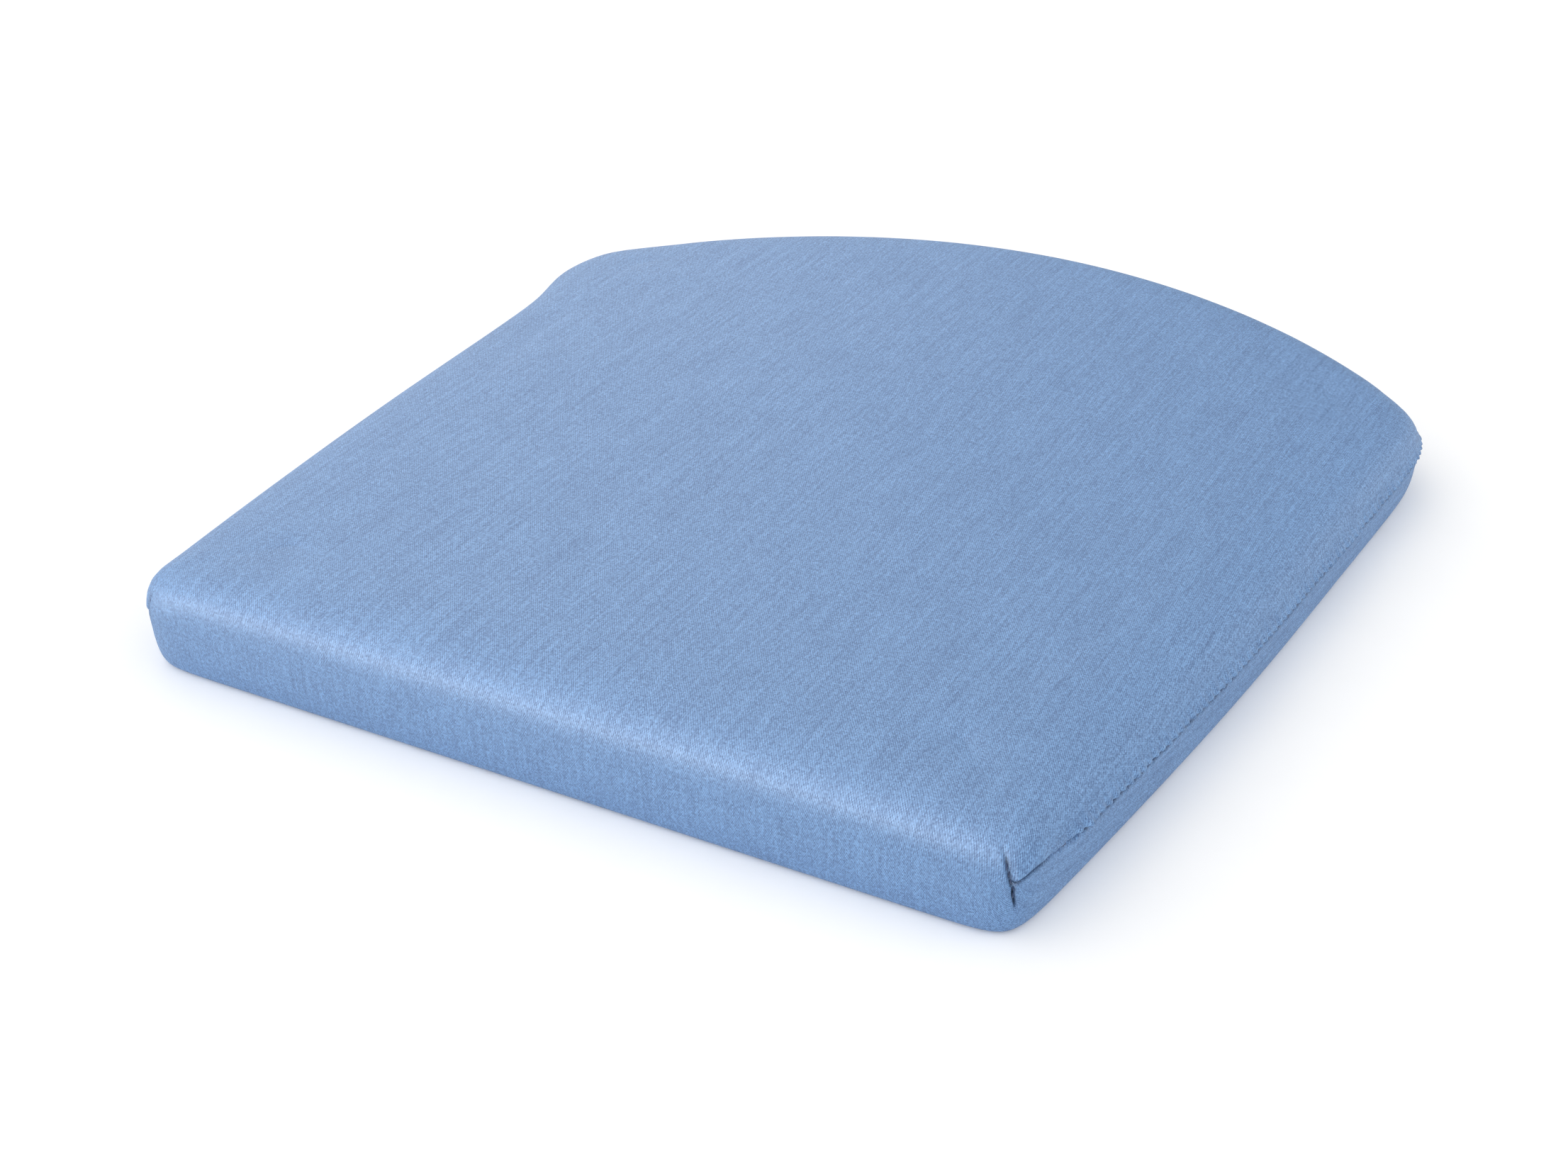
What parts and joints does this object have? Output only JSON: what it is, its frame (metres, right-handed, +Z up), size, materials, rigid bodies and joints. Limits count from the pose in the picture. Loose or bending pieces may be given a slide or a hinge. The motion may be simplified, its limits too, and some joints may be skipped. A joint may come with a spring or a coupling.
{
  "type": "lumbar support cushion",
  "caption": "Low arched back or seat cushion: a zipped woven cover on a foam pad in a wadding wrap, straight at one edge and arched at the other.",
  "frame": {"origin": "middle of the cushion's footprint, on the surface that it lies on", "axes": "+X towards the right-hand side, -Y towards the straight edge and +Y towards the arched edge with the zip, +Z up through the thickness"},
  "size_m": [0.436, 0.481, 0.046],
  "materials": {
    "cover_fabric": "plain-weave melange cloth in light and mid blue yarns, soft matte with a faint sheen",
    "foam": "open-cell polyurethane foam, cream",
    "wadding": "white polyester fibre wadding",
    "thread": "spun polyester sewing thread, dark blue",
    "zip_tape": "knitted polyester tape, blue",
    "zip_teeth": "moulded nylon, satin",
    "zip_metal": "nickel-plated, satin",
    "label": "white satin ribbon, blank"
  },
  "bodies": {
    "cushion": {"cover_fabric": "cover_fabric", "foam_pad": "foam", "wadding_wrap": "wadding", "side_seam_thread_right": "thread", "side_seam_thread_left": "thread", "corner_dart_thread_right": "thread", "corner_dart_thread_left": "thread", "zipper_stitching_upper": "thread", "zipper_stitching_lower": "thread", "zipper_tack_right": "thread", "zipper_tack_left": "thread", "zipper_tape_upper": "zip_tape", "zipper_tape_lower": "zip_tape", "zipper_teeth_upper": "zip_teeth", "zipper_teeth_lower": "zip_teeth", "zipper_top_stop_upper": "zip_metal", "zipper_top_stop_lower": "zip_metal", "zipper_bottom_stop": "zip_metal", "care_label": "label"},
    "slider": {"zipper_slider": "zip_metal"},
    "pull_tab": {"zipper_pull_tab": "zip_metal"}
  },
  "joints": [
    {"name": "slider_travel", "type": "hinge", "parent": "cushion", "child": "slider", "pos_m": [0, -0.06836, 0.0195], "axis": [0, 0, 1], "range_deg": [0, 63.4]},
    {"name": "tab_swing", "type": "hinge", "parent": "slider", "child": "pull_tab", "pos_m": [0.16293, 0.19544, 0.0195], "axis": [0, 0, -1], "range_deg": [0, 176]}
  ]
}
